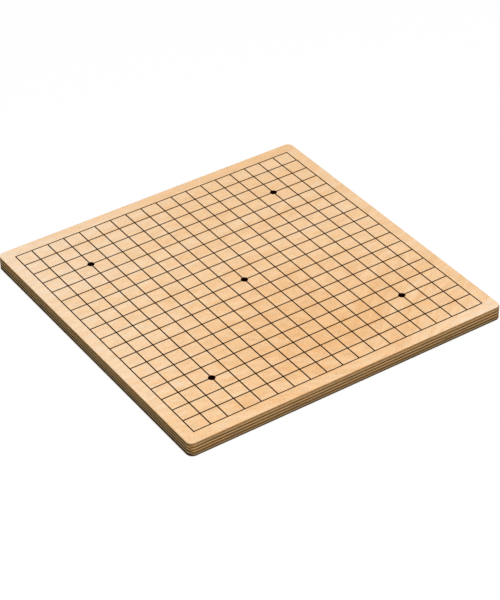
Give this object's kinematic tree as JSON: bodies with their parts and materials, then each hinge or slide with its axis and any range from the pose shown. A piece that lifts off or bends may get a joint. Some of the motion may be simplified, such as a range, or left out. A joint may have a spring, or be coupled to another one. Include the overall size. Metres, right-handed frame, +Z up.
{
  "type": "weiqi board",
  "caption": "Square weiqi (go) board: a rounded panel of crossed beech plies between sliced face veneers, with the playing grid and round star points printed on top.",
  "frame": {"origin": "middle of the underside, on the surface that the board rests on", "axes": "+Z up out of the playing face, +X along the grain of the face veneer, +Y across it"},
  "size_m": [0.428, 0.43, 0.0181],
  "materials": {
    "beech_face": "thin matt clear lacquer",
    "beech_cross_ply": "sanded and sealed, end grain on the X edges",
    "beech_long_ply": "sanded and sealed, long grain on the X edges",
    "printing_ink": "matt black screen ink on the veneer"
  },
  "bodies": {
    "root": {"face_veneer": "beech_face", "core_ply_9": "beech_cross_ply", "core_ply_8": "beech_long_ply", "core_ply_7": "beech_cross_ply", "core_ply_6": "beech_long_ply", "core_ply_5": "beech_cross_ply", "core_ply_4": "beech_long_ply", "core_ply_3": "beech_cross_ply", "core_ply_2": "beech_long_ply", "core_ply_1": "beech_cross_ply", "back_veneer": "beech_face", "grid_lines": "printing_ink", "star_points": "printing_ink"}
  },
  "joints": []
}
